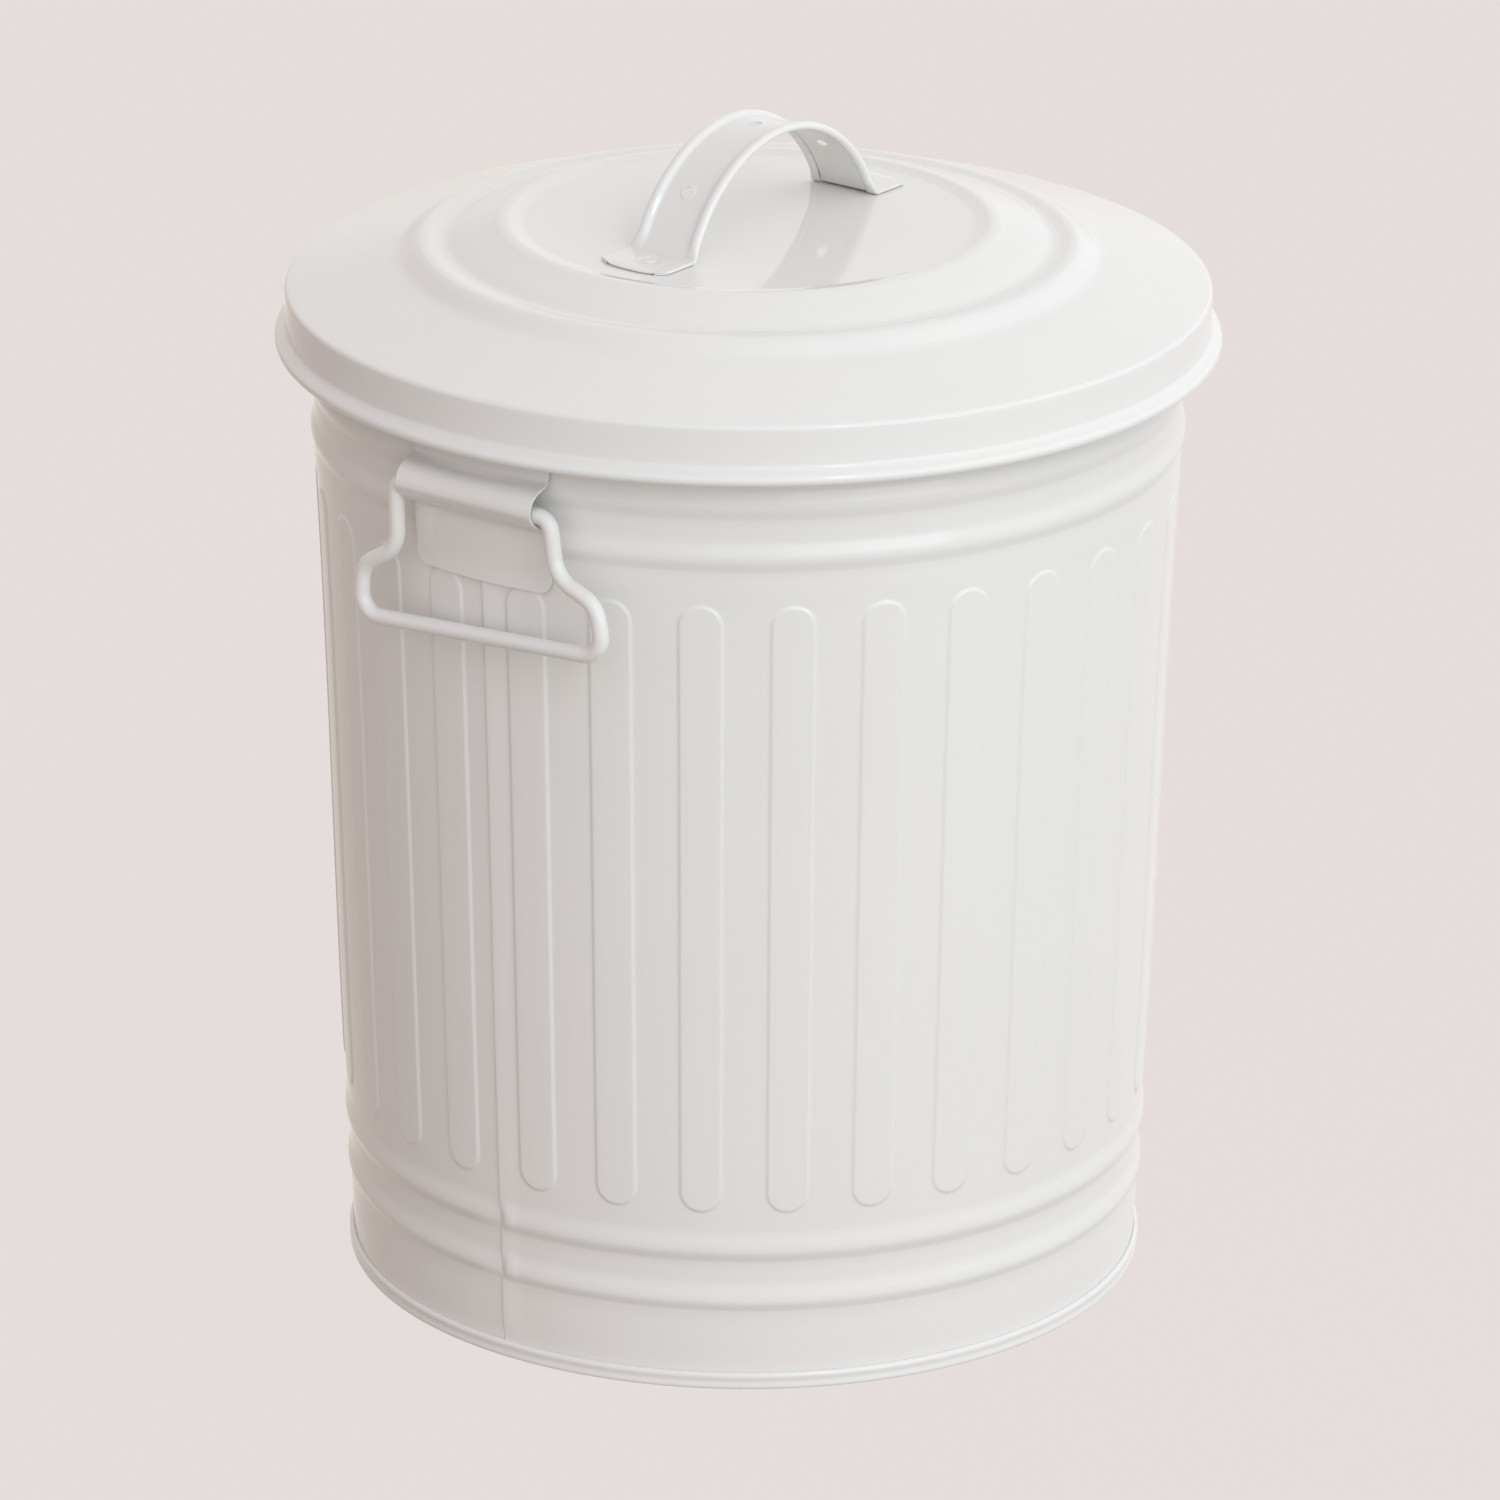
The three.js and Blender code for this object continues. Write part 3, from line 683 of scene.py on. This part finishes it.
half = [6.0]
half += [6.0 + (HOLE_S - 12.0) * k / 11 for k in range(1, 12)]
half += [HOLE_S - 3, HOLE_S, HOLE_S + 3, HOLE_S + 6]
half += [HOLE_S + 6 + (S1 - HOLE_S - 6) * k / 10 for k in range(1, 11)]
half += [S1 + (S2 - S1) * k / 8 for k in range(1, 9)]
half += [s_of_x(x) for x in (X2 + 0.5, RIVET_X - 8.0)]
half += [s_of_x(RIVET_X - 8.0 + 16.0 * k / 6) for k in range(1, 7)]
half += [s_of_x(82.5 + q) for q in (0.2, 0.4, 0.55, 0.7)]
S_ROWS = [-s for s in half[::-1]] + [-3.0, 0.0, 3.0] + half
U_COLS = [-WEB, -9.0, -6.0, -3.0, 0.0, 3.0, 6.0, 9.0, WEB]
columns = [(-WEB, e) for e in range(NE, 0, -1)] + [(u, 0) for u in U_COLS] + [(WEB, e) for e in range(1, NE + 1)]
strap = Sheet()
pts = np.array([[strap_point(u, s, e) for u, e in columns] for s in S_ROWS])
holes = [(0.0, 6.0, 4), (-HOLE_S, 6.0, 4), (HOLE_S, 6.0, 4)]
fx = s_of_x(RIVET_X)
dishes = [(-fx, 8.0, 9.0), (fx, 8.0, 9.0)]


def skip(i, j):
    s = (S_ROWS[i] + S_ROWS[i + 1]) / 2
    if columns[j][1] or columns[j + 1][1]:
        return False
    u = (columns[j][0] + columns[j + 1][0]) / 2
    if any(abs(s - c) < 6.0 and abs(u) < 6.0 for c, _, _ in holes):
        return True
    return any(abs(s - c) < ds and abs(u) < du for c, ds, du in dishes)


strap.grid(pts, skip=skip)


def frame_loop(c, ds, du, ks, ku):
    """Border points of a window, anticlockwise in (s, u)."""
    out = [(c + ds, du * (2 * k / ku - 1)) for k in range(ku)]
    out += [(c + ds * (1 - 2 * k / ks), du) for k in range(ks)]
    out += [(c - ds, du * (1 - 2 * k / ku)) for k in range(ku)]
    out += [(c - ds * (1 - 2 * k / ks), -du) for k in range(ks)]
    return out


def window(c, ds, du, ks, ku, radii, fill):
    edge = frame_loop(c, ds, du, ks, ku)
    n = len(edge)
    loops = [edge]
    a0 = math.atan2(-1, 1)
    for rho in radii:
        loops.append([(c + rho * math.cos(a0 + 2 * math.pi * k / n), rho * math.sin(a0 + 2 * math.pi * k / n)) for k in range(n)])
    arr = np.array([[strap_point(u, s) for s, u in loop] for loop in loops])
    start = strap.grid(arr, close=True)
    if fill:
        mid = strap.points([strap_point(0.0, c)])
        last = start + (len(loops) - 1) * n
        for k in range(n):
            strap.f.append((last + k, last + (k + 1) % n, mid))


for c, ds, k in holes:
    window(c, ds, 6.0, k, k, (4.4, 3.85, 3.6, 3.3, 3.0, 2.75, 2.6), False)
for c, ds, du in dishes:
    window(c, ds, du, 6, 6, (7.6, 7.1, 6.6, 6.1, 5.6, 5.1, 4.6, 4.1, 3.0, 1.5), True)
bm = strap.bm(weld=0.01)
bmesh.ops.recalc_face_normals(bm, faces=bm.faces)
bm.normal_update()
probe = min(bm.faces, key=lambda f: (f.calc_center_median() - Vector((0.02, 0.009, 0.513))).length)
if probe.normal.z < 0:
    bmesh.ops.reverse_faces(bm, faces=bm.faces)
thicken(bm, SHEET_S / 2, SHEET_S / 2)
for v in bm.verts:
    x, y = v.co.x + H_DX * MM, v.co.y + H_DY * MM
    v.co.x, v.co.y = x * math.cos(LID_TURN) - y * math.sin(LID_TURN), x * math.sin(LID_TURN) + y * math.cos(LID_TURN)
piece("lid_strap", bm, M_HARD, "lid", "lid_handle")

# rivets
for sign, node in ((-1, "lid_rivet_left"), (1, "lid_rivet_right")):
    x, y = sign * RIVET_X + H_DX, H_DY
    at = (x * math.cos(LID_TURN) - y * math.sin(LID_TURN), x * math.sin(LID_TURN) + y * math.cos(LID_TURN))
    z0 = FOOT_Z - 0.62 + SHEET_S / 2
    head = [(0, z0 + 0.62), (0.9, z0 + 0.6), (1.8, z0 + 0.52), (2.5, z0 + 0.38), (3.0, z0 + 0.2), (3.28, z0 + 0.02),
            (3.1, z0 - 0.05), (2.0, z0 - 0.05), (2.0, 471.35), (3.1, 471.35), (3.3, 471.1), (3.1, 470.6), (2.4, 470.2), (1.2, 470.0), (0, 469.95)]
    piece(node + "_domed", turn(head, 32, at), M_HARD, "lid", node)

# ------------------------------------------------------------------ side brackets
BR_HALF, BR_BOTTOM, BR_CORNER, BR_FACE = 35.5, 361.2, 5.5, 191.35
bulge = spline([(BR_FACE, 430.0), (BR_FACE, 420.0), (BR_FACE, 414.6), (BR_FACE + 0.15, 412.4), (BR_FACE + 1.2, 410.6), (193.6, 409.5),
                (196.0, 408.3), (198.5, 406.4), (200.2, 404.0), (201.1, 401.2), (201.15, 399.0), (200.0, 396.8), (197.8, 394.4),
                (195.2, 392.3), (192.9, 390.4), (191.75, 388.4), (191.35, 385.8), (191.2, 382.0), (190.75, 376.5), (190.0, 371.0), (189.6, 366.7)], 4)
foot_rows = [(189.6 - 0.15 * math.sin(math.radians(a)), BR_BOTTOM + BR_CORNER * (1 - math.sin(math.radians(a)))) for a in (15, 30, 45, 60, 75, 90)]
bulge = np.vstack([bulge, np.array(foot_rows)])


def bracket_mesh(sign):
    n = 44
    sheet = Sheet()
    rows = []
    for r, z in bulge:
        low_ = max(0.0, BR_CORNER - (z - BR_BOTTOM))
        reach = BR_HALF - (BR_CORNER - math.sqrt(max(0.0, BR_CORNER**2 - low_**2)))
        w = min(1.0, max(0.0, (BR_FACE + 3.2 - r) / 2.6))
        w = w * w * (3 - 2 * w)
        row = []
        for k in range(n + 1):
            t = reach * (2 * k / n - 1)
            rr = r + w * (math.sqrt(r * r - t * t) - r)
            row.append((sign * rr, sign * t, z))
        rows.append(row)
    sheet.grid(np.array(rows))
    out = sheet.bm()
    bmesh.ops.recalc_face_normals(out, faces=out.faces)
    out.normal_update()
    f = min(out.faces, key=lambda q: abs(q.calc_center_median().y) + abs(q.calc_center_median().z - 0.375))
    if f.normal.x * sign < 0:
        bmesh.ops.reverse_faces(out, faces=out.faces)
    thicken(out, SHEET)
    return out


piece("bracket_left_strap", bracket_mesh(-1), M_HARD, "can", "bracket_left")
piece("bracket_right_strap", bracket_mesh(1), M_HARD, "can", "bracket_right")

# ------------------------------------------------------------------ bails
ROD, PIVOT_R, PIVOT_Z = 3.55, 195.55, 398.8
bail_skew = [((0.4, PIVOT_Z), 0), ((42.0, PIVOT_Z), 6.5), ((45.4, 373.8), 14.5), ((66.3, 365.6), 12.5), ((70.4, 343.2), 9.5),
             ((-59.2, 335.5), 9.5), ((-57.6, 358.3), 12.5), ((-38.9, 368.9), 14.5), ((-39.6, PIVOT_Z), 4.4), ((-0.4, PIVOT_Z), 0)]
bail_true = [((0.4, PIVOT_Z), 0), ((40.8, PIVOT_Z), 5.5), ((42.2, 371.4), 14.5), ((61.9, 362.0), 12.5), ((64.8, 339.4), 9.5),
             ((-64.8, 339.4), 9.5), ((-61.9, 362.0), 12.5), ((-42.2, 371.4), 14.5), ((-40.8, PIVOT_Z), 5.5), ((-0.4, PIVOT_Z), 0)]


def bend_line(corners):
    out = [np.array(corners[0][0], float)]
    for i in range(1, len(corners) - 1):
        b, r = np.array(corners[i][0], float), corners[i][1]
        u = np.array(corners[i - 1][0], float) - b
        v = np.array(corners[i + 1][0], float) - b
        u, v = u / np.linalg.norm(u), v / np.linalg.norm(v)
        half_ = math.acos(max(-1, min(1, float(u @ v)))) / 2
        d = r / math.tan(half_)
        c = b + (u + v) / np.linalg.norm(u + v) * r / math.sin(half_)
        s, e = b + u * d - c, b + v * d - c
        total = math.atan2(s[0] * e[1] - s[1] * e[0], float(s @ e))
        n = max(3, round(abs(math.degrees(total)) / 5))
        for k in range(n + 1):
            a = total * k / n
            out.append(c + np.array([s[0] * math.cos(a) - s[1] * math.sin(a), s[0] * math.sin(a) + s[1] * math.cos(a)]))
    out.append(np.array(corners[-1][0], float))
    # long straight runs get points of their own
    full = [out[0]]
    for p in out[1:]:
        q = full[-1]
        k = int(np.linalg.norm(p - q) // 12)
        for i in range(1, k + 1):
            full.append(q + (p - q) * i / (k + 1))
        full.append(p)
    return full


def bail_mesh(corners, sign):
    line2 = bend_line(corners)
    line3 = [Vector((sign * PIVOT_R, sign * t, z)) for t, z in line2]
    out_dir = Vector((sign, 0, 0))
    out = bmesh.new()
    n = 28
    loops = []
    for i, p in enumerate(line3):
        d0 = (p - line3[i - 1]).normalized() if i else Vector()
        d1 = (line3[i + 1] - p).normalized() if i < len(line3) - 1 else Vector()
        across = out_dir.cross((d0 + d1).normalized())
        inset = 0.45 if i in (0, len(line3) - 1) else 0.0
        loops.append([out.verts.new((p + (across * math.cos(a) + out_dir * math.sin(a)) * (ROD - inset)) * MM)
                      for a in (2 * math.pi * k / n for k in range(n))])
    for a, b in zip(loops, loops[1:]):
        for k in range(n):
            out.faces.new((a[k], a[(k + 1) % n], b[(k + 1) % n], b[k]))
    for end in (loops[0], loops[-1]):
        c = out.verts.new(sum((v.co for v in end), Vector()) / n)
        for k in range(n):
            out.faces.new((end[k], end[(k + 1) % n], c))
    face_out(out)
    return out


piece("bail_left_rod", bail_mesh(bail_skew, -1), M_HARD, "bail_left", "bail_left")
piece("bail_right_rod", bail_mesh(bail_true, 1), M_HARD, "bail_right", "bail_right")

# ------------------------------------------------------------------ stage and light
scene.view_settings.view_transform = "Standard"
scene.view_settings.look = "None"
scene.view_settings.exposure = 0.0
scene.view_settings.gamma = 1.0

fm = bpy.data.materials.new("floor")
fm.use_nodes = True
nt = fm.node_tree
nt.nodes.clear()
o_ = nt.nodes.new("ShaderNodeOutputMaterial")
em = nt.nodes.new("ShaderNodeEmission")
df = nt.nodes.new("ShaderNodeBsdfDiffuse")
mx = nt.nodes.new("ShaderNodeMixShader")
em.inputs[0].default_value = (0.7835, 0.7231, 0.7084, 1)
em.inputs[1].default_value = 1.029
df.inputs[0].default_value = (0.42, 0.39, 0.38, 1)
mx.inputs[0].default_value = 0.05
nt.links.new(em.outputs[0], mx.inputs[1])
nt.links.new(df.outputs[0], mx.inputs[2])
nt.links.new(mx.outputs[0], o_.inputs[0])
bpy.ops.mesh.primitive_circle_add(vertices=96, radius=14.0, fill_type="NGON", location=(0, 0, 0))
floor = bpy.context.object
floor.name = "floor"
floor.data.materials.append(fm)
# what the floor gives back to the bin is part of the light all round, below
floor.visible_diffuse = False
floor.visible_glossy = False
floor.visible_shadow = False

# light all round: one tone above and one below that run softly into each other
# at the horizon, each stronger behind, in front and to the right of the bin
right = Vector((heading.y, -heading.x, 0))
world = bpy.data.worlds.new("world")
scene.world = world
world.use_nodes = True
wn = world.node_tree
wn.nodes.clear()
wo = wn.nodes.new("ShaderNodeOutputWorld")
wb = wn.nodes.new("ShaderNodeBackground")
wc = wn.nodes.new("ShaderNodeTexCoord")
wz = wn.nodes.new("ShaderNodeSeparateXYZ")
wn.links.new(wc.outputs["Generated"], wz.inputs[0])
ws = wn.nodes.new("ShaderNodeMapRange")
ws.interpolation_type = "SMOOTHSTEP"
ws.inputs["From Min"].default_value, ws.inputs["From Max"].default_value = -0.15, 0.15
wn.links.new(wz.outputs[2], ws.inputs[0])


def towards(direction):
    """0 away from the direction, 1 straight along it."""
    d = wn.nodes.new("ShaderNodeVectorMath")
    d.operation = "DOT_PRODUCT"
    wn.links.new(wc.outputs["Generated"], d.inputs[0])
    d.inputs[1].default_value = direction
    m = wn.nodes.new("ShaderNodeMapRange")
    m.inputs["From Min"].default_value, m.inputs["From Max"].default_value = -0.2, 1.0
    wn.links.new(d.outputs["Value"], m.inputs[0])
    return m.outputs[0]


def tone(blend, factor, first, second):
    n = wn.nodes.new("ShaderNodeMix")
    n.data_type = "RGBA"
    n.blend_type = blend
    n.clamp_result = False
    wn.links.new(factor, n.inputs["Factor"])
    for socket, value in (("A", first), ("B", second)):
        if isinstance(value, tuple):
            n.inputs[socket].default_value = (*value, 1)
        else:
            wn.links.new(value, n.inputs[socket])
    return n.outputs["Result"]


to_back = towards(heading)
to_right = towards(right)
to_front = towards(-heading)
to_back_right = towards(heading * math.cos(math.radians(50)) + right * math.sin(math.radians(50)))
to_back_left = towards(heading * math.cos(math.radians(50)) - right * math.sin(math.radians(50)))
below = tone("ADD", to_back, (0.000, 0.000, 0.000), (0.575, 0.492, 0.403))
below = tone("ADD", to_front, below, (0.698, 0.619, 0.560))
below = tone("ADD", to_back_right, below, (0.449, 0.497, 0.546))
above = tone("ADD", to_back, (0.165, 0.151, 0.141), (0.500, 0.500, 0.500))
above = tone("ADD", to_right, above, (0.752, 0.735, 0.763))
above = tone("ADD", to_front, above, (0.854, 0.753, 0.820))
above = tone("ADD", to_back_right, above, (0.012, 0.115, 0.168))
above = tone("ADD", to_back_left, above, (0.374, 0.298, 0.241))
wn.links.new(tone("MIX", ws.outputs[0], below, above), wb.inputs[0])
wb.inputs[1].default_value = 1.0
wn.links.new(wb.outputs[0], wo.inputs[0])


def panel(name, turn_, up, size, radiance):
    """A softbox 2.6 m from the bin, turn_ degrees to the right of the camera
    as seen from above the bin, and up degrees above its middle."""
    a, e = math.radians(turn_), math.radians(up)
    mid_ = Vector((0, 0, 0.22))
    at = mid_ + ((-heading * math.cos(a) + right * math.sin(a)) * math.cos(e) + Vector((0, 0, math.sin(e)))) * 2.6
    d = bpy.data.lights.new(name, "AREA")
    d.shape = "RECTANGLE"
    d.size, d.size_y = size
    top = max(radiance)
    d.energy = top * math.pi * size[0] * size[1]
    d.color = tuple(c / top for c in radiance)
    o = bpy.data.objects.new(name, d)
    o.location = at
    o.rotation_mode = "QUATERNION"
    o.rotation_quaternion = (mid_ - at).to_track_quat("-Z", "Y")
    o.visible_camera = False
    scene.collection.objects.link(o)


LIGHTS = [
    ("front", 0, 16, (0.95, 1.4), (0.001, 0.314, 0.233)),
    ("key_a", 20, 16, (0.95, 1.4), (0.642, 0.930, 0.832)),
    ("key_b", 40, 16, (0.95, 1.4), (1.117, 1.148, 1.198)),
    ("front_high", 0, 50, (1.6, 1.5), (0.001, 0.164, 0.366)),
    ("right_high", 45, 50, (1.6, 1.5), (0.016, 0.409, 0.218)),
    ("far_right_high", 90, 50, (1.6, 1.5), (0.440, 0.098, 0.001)),
    ("spark", 24, 40, (0.28, 0.55), (8.000, 8.000, 8.000)),
]
for spec in LIGHTS:
    panel(*spec)
